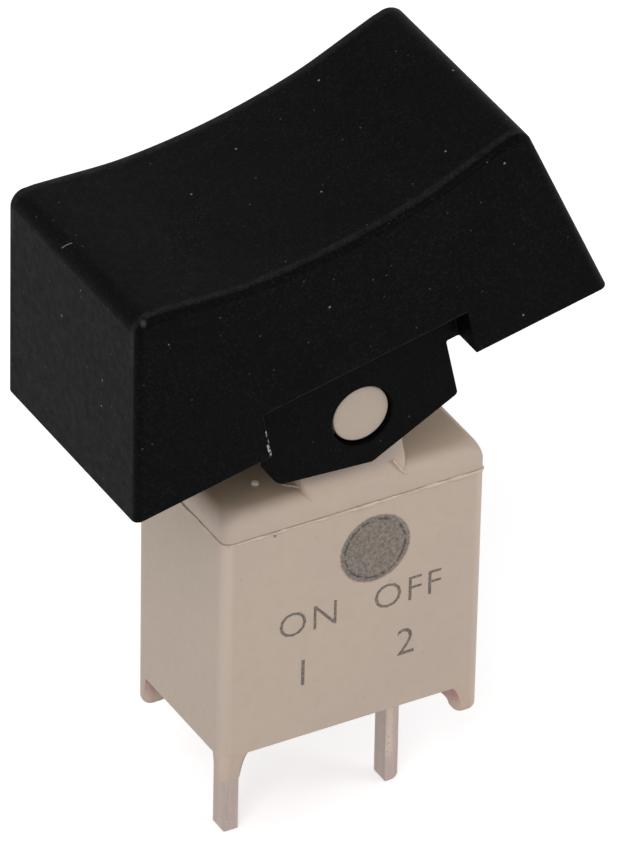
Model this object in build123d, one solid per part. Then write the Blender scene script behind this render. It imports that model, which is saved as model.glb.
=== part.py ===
"""Miniature rocker switch for a circuit board: every piece, in millimetres.

The origin is the centre of the housing's footprint on the board. X runs along the housing, Z points
away from the board. The rocker is built level about its own pivot and then tipped, so all that
belongs to it is written in the rocker's frame: X along the crown, Z up from the pivot.
"""

import math
import os

from build123d import *

os.makedirs("parts", exist_ok=True)

# --- housing ---
body_length = 8.09
body_depth = 4.87
case_draft = 0.20         # degrees, the case narrows toward the board
foot_height = 0.94
case_height = 7.11        # from the feet's root to the joint with the cover
cover_thick = 0.83
wall = 0.62
corner_round = 0.26
room_round = 0.15         # upright corners inside the case
cover_round = 0.60
floor_recess = 0.50
floor_thick = 0.73
base_rim = 0.55           # width of the wall left round the recess under the floor
foot_x = 0.68
foot_y = 0.55
foot_round = 0.16
foot_root = 0.42          # concave blend from foot to wall, along X
seam_break = 0.04

# --- tower on the cover ---
pivot_rise = 2.32         # pivot above the cover
cheek_half_x = 1.50
cheek_thick = 0.90
cheek_gap = 0.08          # between cheek and ear
ramp_gap = 0.12           # between the top of a cheek's sloped foot and the ear's lowest point
ramp_drop = 0.08          # start of the slope below the cover's top
ramp_soft = 0.10          # softening at both ends of the slope
boss_radius = 0.89
boss_recess = 0.14        # end of a boss inside the ear's outer face
boss_edge = 0.06
spigot_depth = 0.50
spigot_gap = 0.03
pip_radius = 0.16
pip_height = 0.10
pip_x = -2.47
pip_y = -1.20

# --- rocker, level frame, pivot at the origin ---
rocker_tilt = 12.4        # each way from level
rocker_width = 7.32
skirt_level = 1.04
skirt_half = 7.39
crown_level = 7.40
crown_half = 6.01
crown_dip = 0.92
crest_round = 0.50
rim_round = 0.18
side_wall = 0.97
end_wall = 0.95
roof_thick = 1.00         # below the lowest line of the crown
ear_half = 2.81
ear_thick = 0.61
ear_apex = -1.64
ear_slope = 15.9          # degrees, both ways from the apex
ear_corner = 0.32
ear_root_half = 4.20      # the thicker band of side wall that carries the ear
relief_half = 3.23
relief_level = 2.48
pivot_fit = 0.03          # radial, ear hole on boss

# --- leg, follower and spring, measured down from the pivot along the leg ---
leg_half_x = 0.85
leg_gap = 0.15            # between leg and cheek
leg_clear = 2.08          # end of the leg above the fulcrum's axis
leg_edge = 0.20
leg_tip_break = 0.12
bore_radius = 0.55
bore_top = 1.60
follower_fit = 0.05       # radial
follower_guide = 1.00     # length of follower inside the leg
follower_spigot = 0.45
spigot_radius = 0.26
spigot_break = 0.06
spring_wire = 0.16
spring_radius = 0.40      # to the middle of the wire
spring_turns = 7
spring_steps = 16         # straight lengths in one turn
spring_end_gap = 0.01
stop_gap = 0.03

# --- contact system ---
pin_pitch = 5.08
pin_x = 0.41
pin_y = 0.64
pin_tip = -3.26
pin_tip_round = 0.12      # side toward negative X
pin_tip_roll = 0.24       # side toward positive X, rolled over by the shear
pin_slot_fit = 0.01
strip_half_y = 0.80
bend_round = 0.28
fulcrum_rise = 1.05       # axis of the fulcrum above the floor
fulcrum_radius = pin_x / 2
fulcrum_fit = 0.04        # radial, groove of the blade on the fulcrum
cradle_half_y = 1.30
cradle_slot = 0.93        # half the room left for the blade
cradle_rise = 0.75        # cradle above the fulcrum's axis
blade_half = 3.00
blade_half_y = 0.85
blade_thick = 0.30
blade_corner = 0.30
blade_lift = 0.13         # underside of the blade above the fulcrum's axis
blade_tilt = rocker_tilt / 2
contact_reach = 2.20
moving_radius = 0.42
moving_height = 0.20
shank_radius = 0.25
upset_height = 0.06
fixed_radius = 0.45
fixed_break = 0.08
head_reach = 0.89         # contact head of the switched terminal, inward from the pin's middle
contact_gap = 0.02
rest_half_y = 0.80
rest_side = 0.09          # between that ledge and the terminal's strip
rest_gap = 0.045
running_gap = 0.02        # between follower and blade as the follower passes the middle
seal_sink = 0.10

# --- building ---
sink = 0.10               # how far shapes of one piece run into each other where they join
past = 1.00               # how far a cutting shape runs out past what it cuts

# --- values that follow ---
tilt = math.radians(rocker_tilt)
dip = math.radians(blade_tilt)
case_base = foot_height
case_top = case_base + case_height
cover_top = case_top + cover_thick
floor_base = case_base + floor_recess
floor_top = floor_base + floor_thick
pivot_height = cover_top + pivot_rise
fulcrum_height = floor_top + fulcrum_rise
cradle_top = fulcrum_height + cradle_rise
fulcrum_drop = pivot_height - fulcrum_height
hole_radius = boss_radius + pivot_fit
relief_face = rocker_width / 2 - side_wall
ear_inner = relief_face - ear_thick
cheek_outer = ear_inner - cheek_gap
cheek_inner = cheek_outer - cheek_thick
boss_end = relief_face - boss_recess
ramp_top = pivot_height + ear_apex - ramp_gap
ramp_start = cover_top - ramp_drop
leg_half_y = cheek_inner - leg_gap
leg_tip = fulcrum_drop - leg_clear
follower_top = leg_tip - follower_guide
roof_level = crown_level - crown_dip - roof_thick
crown_radius = (crown_half**2 + crown_dip**2) / (2 * crown_dip)
tip_radius = bore_radius - follower_fit
blade_top = blade_lift + blade_thick
tip_centre = fulcrum_drop - blade_top - tip_radius - running_gap
end_face_slope = (skirt_half - crown_half) / (crown_level - skirt_level)
pin_left = -pin_pitch / 2
pin_right = pin_pitch / 2
dome_radius = (moving_radius**2 + moving_height**2) / (2 * moving_height)
dome_rise = blade_lift + dome_radius - moving_height
dome_x = contact_reach * math.cos(dip) + dome_rise * math.sin(dip)
dome_low = fulcrum_height - contact_reach * math.sin(dip) + dome_rise * math.cos(dip) - dome_radius
blade_end_low = fulcrum_height + blade_lift * math.cos(dip) - blade_half * math.sin(dip)
spigot_base = case_top - spigot_depth
opening_drop = pivot_height - spigot_base
low_half_x = body_length / 2 - case_top * math.tan(math.radians(case_draft))
low_half_y = body_depth / 2 - case_top * math.tan(math.radians(case_draft))
opening_half = (leg_half_x + opening_drop * math.sin(tilt)) / math.cos(tilt) + stop_gap


def prism(outline, y_from, y_to):
    """Solid between two depths, from a closed outline of (x, z) points."""
    face = make_face(Polyline(*[(x, y_from, z) for x, z in outline], close=True))
    return extrude(face, amount=y_to - y_from, dir=(0, 1, 0))


def block(x_from, x_to, y_from, y_to, z_from, z_to):
    """Box between six planes."""
    size = (x_to - x_from, y_to - y_from, z_to - z_from)
    middle = ((x_from + x_to) / 2, (y_from + y_to) / 2, (z_from + z_to) / 2)
    return Pos(*middle) * Box(*size)


def rod(radius, y_from, y_to, x=0.0, z=0.0):
    """Cylinder along Y."""
    return Pos(x, (y_from + y_to) / 2, z) * Rot(90, 0, 0) * Cylinder(radius, y_to - y_from)


def upright(radius, z_from, z_to, x=0.0, y=0.0):
    """Cylinder along Z."""
    return Pos(x, y, (z_from + z_to) / 2) * Cylinder(radius, z_to - z_from)


def tipped(shape):
    """From the rocker's level frame to its place on the tower, left end down."""
    return Pos(0, 0, pivot_height) * Rot(0, -rocker_tilt, 0) * shape


def rocked(shape):
    """From the blade's level frame to its place on the fulcrum, right end down."""
    return Pos(0, 0, fulcrum_height) * Rot(0, blade_tilt, 0) * shape


# --- case ---
def drafted():
    """Outside of the case carried on down to the board, narrowing all the way."""
    outline = Pos(0, 0, case_top) * RectangleRounded(body_length, body_depth, corner_round)
    return extrude(outline, amount=case_top, dir=(0, 0, -1), taper=case_draft)


def foot():
    """One corner foot of the case, at the negative X and Y corner, with its blend to the wall."""
    inner_x = -low_half_x + foot_x
    inner_y = -low_half_y + foot_y
    column = block(-body_length, inner_x, -body_depth, inner_y, 0, floor_base + sink) & drafted()
    inside = column.edges().filter_by(Axis.Z).sort_by(lambda e: e.center().X + e.center().Y)[-1]
    column = fillet(inside, foot_round)
    column = fillet(column.faces().sort_by(Axis.Z)[0].edges(), foot_round)
    web = block(inner_x - sink, inner_x + foot_root, -body_depth, inner_y - foot_round,
                case_base - foot_root, case_base + foot_root)
    web -= rod(foot_root, -body_depth - past, past, inner_x + foot_root, case_base - foot_root)
    return column + (web & drafted())


def feet():
    """The four feet."""
    one = foot()
    pair = one + mirror(one, Plane.YZ)
    return pair + mirror(pair, Plane.XZ)


def case_shell():
    """Walls and floor of the case."""
    hx = body_length / 2
    hy = body_depth / 2
    shell = drafted() & block(-hx, hx, -hy, hy, case_base, case_top)
    room = block(-hx + wall, hx - wall, -hy + wall, hy - wall, floor_top, case_top + past)
    room = fillet(room.edges().filter_by(Axis.Z), room_round)
    recess = block(-hx + base_rim, hx - base_rim, -hy + base_rim, hy - base_rim,
                   case_base - past, floor_base)
    return shell - room - recess


def pin_slots():
    """Slots in the floor for the two terminals."""
    half_x = pin_x / 2 + pin_slot_fit
    half_y = pin_y / 2 + pin_slot_fit
    slots = None
    for x in (pin_left, pin_right):
        slot = block(x - half_x, x + half_x, -half_y, half_y, floor_base - past, floor_top + past)
        slots = slot if slots is None else slots + slot
    return slots


def blade_rest():
    """Ledge inside the case that the blade's open end comes down to."""
    left = -body_length / 2 + wall
    right = pin_left - pin_x / 2 - rest_side
    return block(left - sink, right, -rest_half_y, rest_half_y,
                 floor_top - sink, blade_end_low - rest_gap)


def build_case():
    """Case in one moulding."""
    return case_shell() + feet() + blade_rest() - pin_slots()


# --- cover ---
def cover_plate():
    """Plate of the cover with its rounded top and the spigot that enters the case."""
    hx = body_length / 2
    hy = body_depth / 2
    plate = block(-hx, hx, -hy, hy, case_top, cover_top)
    plate = fillet(plate.edges().filter_by(Axis.Z), corner_round)
    plate = fillet(plate.faces().sort_by(Axis.Z)[-1].edges(), cover_round)
    plate = chamfer(plate.faces().sort_by(Axis.Z)[0].edges(), seam_break)
    inset = wall + spigot_gap
    spigot = block(-hx + inset, hx - inset, -hy + inset, hy - inset, spigot_base, case_top + sink)
    return plate + spigot


def cheek():
    """Cheek of the tower on the negative Y side, with its sloped foot and its pivot boss."""
    upper = block(-cheek_half_x, cheek_half_x, -cheek_outer, -cheek_inner, case_top + sink, pivot_height)
    upper += rod(cheek_half_x, -cheek_outer, -cheek_inner, 0, pivot_height)
    front = -body_depth / 2
    back = -cheek_outer + sink
    low = ramp_start - 2 * ramp_soft
    ramp_line = [(front, low), (front, ramp_start), (front + ramp_soft, ramp_start + 2 * ramp_soft),
                 (-cheek_outer - ramp_soft, ramp_top - 2 * ramp_soft), (-cheek_outer, ramp_top),
                 (back, ramp_top), (back, low)]
    face = make_face(Polyline(*[(-cheek_half_x, y, z) for y, z in ramp_line], close=True))
    ramp = extrude(face, amount=2 * cheek_half_x, dir=(1, 0, 0))
    boss = rod(boss_radius, -boss_end, -cheek_outer + sink, 0, pivot_height)
    boss = chamfer(boss.faces().sort_by(Axis.Y)[0].edges(), boss_edge)
    return upper + ramp + boss


def build_cover():
    """Cover, tower and pivot bosses in one moulding."""
    near = cheek()
    body = cover_plate() + near + mirror(near, Plane.XZ)
    body -= block(-opening_half, opening_half, -cheek_inner, cheek_inner,
                  spigot_base - past, cover_top + past)
    body += upright(pip_radius, cover_top - sink, cover_top + pip_height, pip_x, pip_y)
    return body


# --- rocker ---
def rocker_block():
    """Outside of the rocker: wedge ends, hollowed crown and rounded edges."""
    outline = [(-skirt_half, skirt_level), (skirt_half, skirt_level),
               (crown_half, crown_level), (-crown_half, crown_level)]
    half = rocker_width / 2
    solid = prism(outline, -half, half)
    solid -= rod(crown_radius, -half - past, half + past, 0, crown_level - crown_dip + crown_radius)
    crests = solid.edges().filter_by(Axis.Y).sort_by(Axis.Z)[-2:]
    solid = fillet(crests, crest_round)
    rims = [e for e in solid.edges() if e.center().Z > skirt_level + sink and abs(e.center().Y) > half - 0.01]
    return fillet(rims, rim_round)


def rocker_room():
    """Hollow of the rocker."""
    low = skirt_half - end_wall
    high = low - end_face_slope * (roof_level - skirt_level)
    outline = [(-low, skirt_level - past), (-low, skirt_level), (-high, roof_level),
               (high, roof_level), (low, skirt_level), (low, skirt_level - past)]
    return prism(outline, -relief_face, relief_face)


def ear():
    """Pivot ear on the negative Y side with the band of wall that carries it, drilled."""
    corner = ear_apex + ear_half * math.tan(math.radians(ear_slope))
    root = skirt_level + sink
    tab = prism([(-ear_half, root), (-ear_half, corner), (0, ear_apex), (ear_half, corner),
                 (ear_half, root)], -relief_face, -ear_inner)
    low_edges = [e for e in tab.edges().filter_by(Axis.Y) if e.center().Z < 0]
    tab = fillet(low_edges, ear_corner)
    band = block(-ear_root_half, ear_root_half, -relief_face - sink, -ear_inner,
                 skirt_level, roof_level + sink)
    return tab + band


def relief():
    """Cut in the outer half of the side wall above the ear, on the negative Y side."""
    half = rocker_width / 2
    return block(-relief_half, relief_half, -half - past, -relief_face, skirt_level - past, relief_level)


def leg():
    """Leg that reaches down through the cover, with the bore for spring and follower."""
    post = block(-leg_half_x, leg_half_x, -leg_half_y, leg_half_y, -leg_tip, roof_level + sink)
    post = fillet(post.edges().filter_by(Axis.Z), leg_edge)
    post = chamfer(post.faces().sort_by(Axis.Z)[0].edges(), leg_tip_break)
    return post - upright(bore_radius, -leg_tip - past, -bore_top)


def build_rocker():
    """Rocker, ears and leg in one moulding, tipped to rest."""
    near = ear()
    cut = relief()
    body = rocker_block() - rocker_room() + near + mirror(near, Plane.XZ)
    body -= cut + mirror(cut, Plane.XZ)
    body -= rod(hole_radius, -relief_face - sink, relief_face + sink)
    body += leg()
    return tipped(body)


# --- follower and spring ---
def build_follower():
    """Domed pin that slides in the leg, at the height it has as it passes the blade's middle."""
    shaft = upright(tip_radius, -tip_centre, -follower_top)
    dome = Pos(0, 0, -tip_centre) * Sphere(tip_radius)
    spigot = upright(spigot_radius, -follower_top - sink, -follower_top + follower_spigot)
    spigot = chamfer(spigot.faces().sort_by(Axis.Z)[-1].edges(), spigot_break)
    return tipped(shaft + dome + spigot)


def build_spring():
    """Compression spring from the end of the bore to the follower, as short straight lengths of wire."""
    half_wire = spring_wire / 2
    low = -follower_top + half_wire + spring_end_gap
    height = follower_top - bore_top - spring_wire - 2 * spring_end_gap
    steps = spring_turns * spring_steps
    points = []
    for step in range(steps + 1):
        angle = 2 * math.pi * step / spring_steps
        rise = low + height * step / steps
        points.append((spring_radius * math.cos(angle), spring_radius * math.sin(angle), rise))
    path = Polyline(*points)
    section = Plane(origin=path @ 0, z_dir=path % 0) * RegularPolygon(half_wire, 8)
    return tipped(sweep(section, path=path, transition=Transition.RIGHT))


# --- contact system ---
def build_blade():
    """Rocking contact blade with the groove that sits on the fulcrum."""
    strip = block(-blade_half, blade_half, -blade_half_y, blade_half_y, blade_lift, blade_top)
    strip = fillet(strip.edges().filter_by(Axis.Z), blade_corner)
    groove = rod(fulcrum_radius + fulcrum_fit, -blade_half_y - past, blade_half_y + past)
    hole = upright(shank_radius, 0, past, contact_reach)
    return rocked(strip - groove - hole)


def build_moving_contact():
    """Contact rivet in the blade: domed head below, shank through it, upset end above."""
    head = Pos(contact_reach, 0, dome_rise) * Sphere(dome_radius)
    head &= block(contact_reach - past, contact_reach + past, -past, past, blade_lift - past, blade_lift)
    shank = upright(shank_radius, blade_lift - sink / 2, blade_top + upset_height, contact_reach)
    return rocked(head + shank)


def build_fixed_contact():
    """Flat contact on the head of the switched terminal."""
    top = dome_low - contact_gap
    button = upright(fixed_radius, floor_top + pin_x, top, dome_x)
    return chamfer(button.faces().sort_by(Axis.Z)[-1].edges(), fixed_break)


def pin(x):
    """Straight part of a terminal, up to the top of its bend."""
    post = block(x - pin_x / 2, x + pin_x / 2, -pin_y / 2, pin_y / 2, pin_tip, floor_top + pin_x)
    low = post.edges().filter_by(Axis.Y).sort_by(Axis.Z)[:2].sort_by(Axis.X)
    post = fillet(low[0], pin_tip_round)
    far = [e for e in post.edges().filter_by(Axis.Y) if e.center().X > x + pin_x / 2 - 0.01]
    return fillet(min(far, key=lambda e: e.center().Z), pin_tip_roll)


def build_switched():
    """Terminal under the closing end of the blade: pin bent over into the contact head."""
    outer = pin_right + pin_x / 2
    head = block(pin_right - head_reach, outer, -strip_half_y, strip_half_y, floor_top, floor_top + pin_x)
    return pin(pin_right) + head - outer_bend(pin_right, 1)


def outer_bend(x, side):
    """What a bend takes off the square corner of a terminal."""
    edge = x + side * pin_x / 2
    centre = edge - side * bend_round
    top = floor_top + pin_x
    corner = block(min(edge, centre), max(edge, centre), -past, past, top - bend_round, top)
    return corner - rod(bend_round, -past, past, centre, top - bend_round)


def build_common():
    """Terminal that carries the blade: pin, strip along the floor, and the cradle with its fulcrum."""
    outer = pin_left - pin_x / 2
    strip = block(outer, fulcrum_radius, -strip_half_y, strip_half_y, floor_top, floor_top + pin_x)
    tab = block(-fulcrum_radius, fulcrum_radius, -cradle_half_y, cradle_half_y, floor_top, cradle_top)
    seat = block(-past, past, -cradle_slot, cradle_slot, fulcrum_height, cradle_top + past)
    nose = rod(fulcrum_radius, -cradle_slot, cradle_slot, 0, fulcrum_height)
    return pin(pin_left) + strip + (tab - seat) + nose - outer_bend(pin_left, -1)


def build_seal():
    """Resin poured round the terminals under the floor."""
    inset = base_rim
    hx = body_length / 2 - inset
    hy = body_depth / 2 - inset
    fill = block(-hx, hx, -hy, hy, case_base + seal_sink, floor_base) - feet()
    for x in (pin_left, pin_right):
        fill -= block(x - pin_x / 2, x + pin_x / 2, -pin_y / 2, pin_y / 2, 0, floor_base + past)
    return fill


pieces = {
    "case": build_case,
    "cover": build_cover,
    "rocker": build_rocker,
    "follower": build_follower,
    "spring": build_spring,
    "contact_blade": build_blade,
    "moving_contact": build_moving_contact,
    "fixed_contact": build_fixed_contact,
    "terminal_common": build_common,
    "terminal_switched": build_switched,
    "terminal_seal": build_seal,
}
for name, build in pieces.items():
    export_step(build(), f"parts/{name}.step")
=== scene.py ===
import math

import bmesh
import bpy
from mathutils import Matrix, Vector


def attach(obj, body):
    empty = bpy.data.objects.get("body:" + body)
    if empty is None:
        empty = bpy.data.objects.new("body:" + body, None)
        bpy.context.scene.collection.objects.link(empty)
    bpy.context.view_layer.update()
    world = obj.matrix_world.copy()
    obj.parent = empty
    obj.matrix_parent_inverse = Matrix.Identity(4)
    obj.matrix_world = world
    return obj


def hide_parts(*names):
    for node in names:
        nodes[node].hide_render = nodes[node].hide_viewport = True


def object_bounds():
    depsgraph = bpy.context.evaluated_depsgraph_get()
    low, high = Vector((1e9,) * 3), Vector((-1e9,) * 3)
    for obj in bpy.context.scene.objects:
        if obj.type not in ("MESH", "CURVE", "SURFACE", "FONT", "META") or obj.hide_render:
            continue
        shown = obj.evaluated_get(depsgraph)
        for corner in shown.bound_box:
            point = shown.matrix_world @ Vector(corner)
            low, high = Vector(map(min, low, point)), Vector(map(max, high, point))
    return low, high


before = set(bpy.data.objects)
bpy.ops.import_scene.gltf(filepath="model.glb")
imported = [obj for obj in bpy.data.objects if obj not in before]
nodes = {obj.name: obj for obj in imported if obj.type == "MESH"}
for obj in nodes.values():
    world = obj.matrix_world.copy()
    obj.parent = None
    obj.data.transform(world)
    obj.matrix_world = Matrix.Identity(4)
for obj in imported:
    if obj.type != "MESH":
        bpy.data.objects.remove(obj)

cad_low, cad_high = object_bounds()

# --- camera ---
# A long lens a third of a metre away, low over the left front corner of the switch and rolled very
# slightly. All pieces below are drawn in millimetres and brought to metres when they are finished.
camera_azimuth = math.radians(-29.652)
camera_elevation = math.radians(34.539)
camera_roll = math.radians(1.157)
camera_distance = 0.36504
camera_target = Vector((-0.000121, 0.0, 0.009467))
camera_back = Vector((math.sin(camera_azimuth) * math.cos(camera_elevation),
                      -math.cos(camera_azimuth) * math.cos(camera_elevation),
                      math.sin(camera_elevation)))
level_right = Vector((math.cos(camera_azimuth), math.sin(camera_azimuth), 0.0))
level_up = camera_back.cross(level_right)
camera_right = level_right * math.cos(camera_roll) + level_up * math.sin(camera_roll)
camera_up = level_up * math.cos(camera_roll) - level_right * math.sin(camera_roll)
camera_data = bpy.data.cameras.new("camera")
camera_data.sensor_width = 36.0
camera_data.lens = 577.4
camera_data.clip_start = 0.05
camera_data.clip_end = 5.0
camera = bpy.data.objects.new("camera", camera_data)
bpy.context.scene.collection.objects.link(camera)
turn = Matrix((camera_right, camera_up, camera_back)).transposed().to_4x4()
camera.matrix_world = Matrix.Translation(camera_target + camera_back * camera_distance) @ turn
bpy.context.scene.camera = camera
bpy.context.scene.view_settings.view_transform = "Standard"

# --- case ---
# Open box of cream thermoset with four corner feet, moulded in one. The walls narrow slightly toward
# the board, each foot runs into the long wall with a hollow curve, and a shallow recess under the
# floor takes the casting resin.
body_length, body_depth = 8.09, 4.87
half_x, half_y = body_length / 2, body_depth / 2
case_draft = math.tan(math.radians(0.20))
case_top = 8.05
corner_round = 0.25
wall = 0.62
floor_low, floor_high = 1.44, 2.17
base_rim = 0.55
foot_height = 0.94
foot_x, foot_y, foot_side_round, foot_inner_round = 0.68, 0.55, 0.22, 0.12
foot_root, foot_root_start, foot_root_power = 0.17, 0.35, 3.0
foot_spread, foot_spread_start, foot_spread_power = 0.90, 0.20, 1.45
foot_spread_share, foot_root_share = 0.55, 0.3
foot_tip_round = 0.20
ledge_half, ledge_end, ledge_top = 0.80, -2.835, 2.98
pin_left, pin_right = -2.54, 2.54
pin_x, pin_y = 0.41, 0.64
left_pin_extra, slot_gap = 0.05, 0.01
dot_x, dot_z, dot_core, dot_edge, dot_line = 0.64, 6.51, 1.09, 1.17, 0.985
pit_x, pit_z, pit_core, pit_edge = -2.49, 7.93, 0.02, 0.07


def arc(centre_x, centre_z, radius, start, end, steps):
    """Points on an arc, angles in degrees."""
    turns = [math.radians(start + (end - start) * k / steps) for k in range(steps + 1)]
    return [(centre_x + radius * math.cos(a), centre_z + radius * math.sin(a)) for a in turns]


def rounded_ring(half_x, half_y, radius, z):
    """Rectangle with round corners as a closed ring at one height."""
    corners = [(half_x - radius, half_y - radius, 0), (radius - half_x, half_y - radius, 90),
               (radius - half_x, radius - half_y, 180), (half_x - radius, radius - half_y, 270)]
    return [(x, y, z) for cx, cy, a in corners for x, y in arc(cx, cy, radius, a, a + 90, 12)]


def soft_outline(points, radii, steps=8):
    """Closed outline with each corner rounded by its own radius; 0 keeps the corner."""
    result = []
    for k, (spot, r) in enumerate(zip(points, radii)):
        here = Vector(spot)
        if r == 0:
            result.append(spot)
            continue
        back = (Vector(points[k - 1]) - here).normalized()
        ahead = (Vector(points[(k + 1) % len(points)]) - here).normalized()
        half = back.angle(ahead) / 2
        hub = here + (back + ahead).normalized() * (r / math.sin(half))
        first = here + back * (r / math.tan(half)) - hub
        last = here + ahead * (r / math.tan(half)) - hub
        turn = first.angle_signed(last)
        start = math.atan2(first.y, first.x)
        angles = [start - turn * n / steps for n in range(steps + 1)]
        result += [(hub.x + r * math.cos(a), hub.y + r * math.sin(a)) for a in angles]
    return result


def new_piece(name, data):
    """Object that holds a mesh, letters or a lamp."""
    piece = bpy.data.objects.new(name, data)
    bpy.context.scene.collection.objects.link(piece)
    return piece


def loft(name, rings):
    """Closed solid through rings of equal count, with a flat face over each end."""
    bm = bmesh.new()
    rows = [[bm.verts.new(p) for p in ring] for ring in rings]
    count = len(rings[0])
    for low, high in zip(rows, rows[1:]):
        for k in range(count):
            bm.faces.new((low[k], low[(k + 1) % count], high[(k + 1) % count], high[k]))
    bm.faces.new(list(reversed(rows[0])))
    bm.faces.new(rows[-1])
    bmesh.ops.remove_doubles(bm, verts=bm.verts, dist=1e-5)
    bmesh.ops.recalc_face_normals(bm, faces=bm.faces)
    mesh = bpy.data.meshes.new(name)
    bm.to_mesh(mesh)
    bm.free()
    return new_piece(name, mesh)


def prism(name, outline, start, end, along="Y"):
    """Solid with one outline, drawn in (X, Z) and run along Y, or drawn in (Y, Z) and run along X."""
    if along == "Y":
        return loft(name, [[(u, start, v) for u, v in outline], [(u, end, v) for u, v in outline]])
    return loft(name, [[(start, u, v) for u, v in outline], [(end, u, v) for u, v in outline]])


def block(name, x0, x1, y0, y1, z0, z1):
    """Plain cutter or core between six planes."""
    return prism(name, [(x0, z0), (x1, z0), (x1, z1), (x0, z1)], y0, y1)


def baked(piece):
    """Piece with its modifiers turned into mesh."""
    evaluated = piece.evaluated_get(bpy.context.evaluated_depsgraph_get())
    mesh = bpy.data.meshes.new_from_object(evaluated)
    piece.modifiers.clear()
    old = piece.data
    piece.data = mesh
    bpy.data.meshes.remove(old)
    return piece


def joined(piece, tools, operation):
    """Piece after a chain of unions, cuts or intersections with other solids, which are used up."""
    for tool in tools:
        step = piece.modifiers.new("step", "BOOLEAN")
        step.operation = operation
        step.solver = "EXACT"
        step.object = tool
        baked(piece)
        bpy.data.objects.remove(tool)
    return piece


def eased(piece, width, segments=3, angle=38):
    """Piece with its sharp edges rounded off by a small radius."""
    bm = bmesh.new()
    bm.from_mesh(piece.data)
    bmesh.ops.remove_doubles(bm, verts=bm.verts, dist=2e-4)
    bmesh.ops.dissolve_limit(bm, angle_limit=math.radians(0.2), verts=bm.verts, edges=bm.edges)
    bm.to_mesh(piece.data)
    bm.free()
    edge = piece.modifiers.new("edge", "BEVEL")
    edge.width = width
    edge.segments = segments
    edge.limit_method = "ANGLE"
    edge.angle_limit = math.radians(angle)
    edge.use_clamp_overlap = False
    edge.miter_outer = "MITER_ARC"
    return baked(piece)


def finished(piece, material, smooth_angle=32, place=Matrix.Identity(4)):
    """Piece in metres, in its place, shaded smooth across soft edges, with its material."""
    piece.data.transform(Matrix.Scale(0.001, 4) @ place)
    piece.data.materials.clear()
    piece.data.materials.append(material)
    piece.data.shade_smooth()
    piece.data.set_sharp_from_angle(angle=math.radians(smooth_angle))
    flat = piece.modifiers.new("flat", "WEIGHTED_NORMAL")
    flat.keep_sharp = True
    flat.weight = 100
    return baked(piece)


def tree_node(tree, kind, **settings):
    """New node with its settings. One that starts with a capital is an input, with _ for a space."""
    node = tree.nodes.new(kind)
    for key, value in settings.items():
        if key[0].isupper():
            node.inputs[key.replace("_", " ")].default_value = value
        else:
            setattr(node, key, value)
    return node


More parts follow.
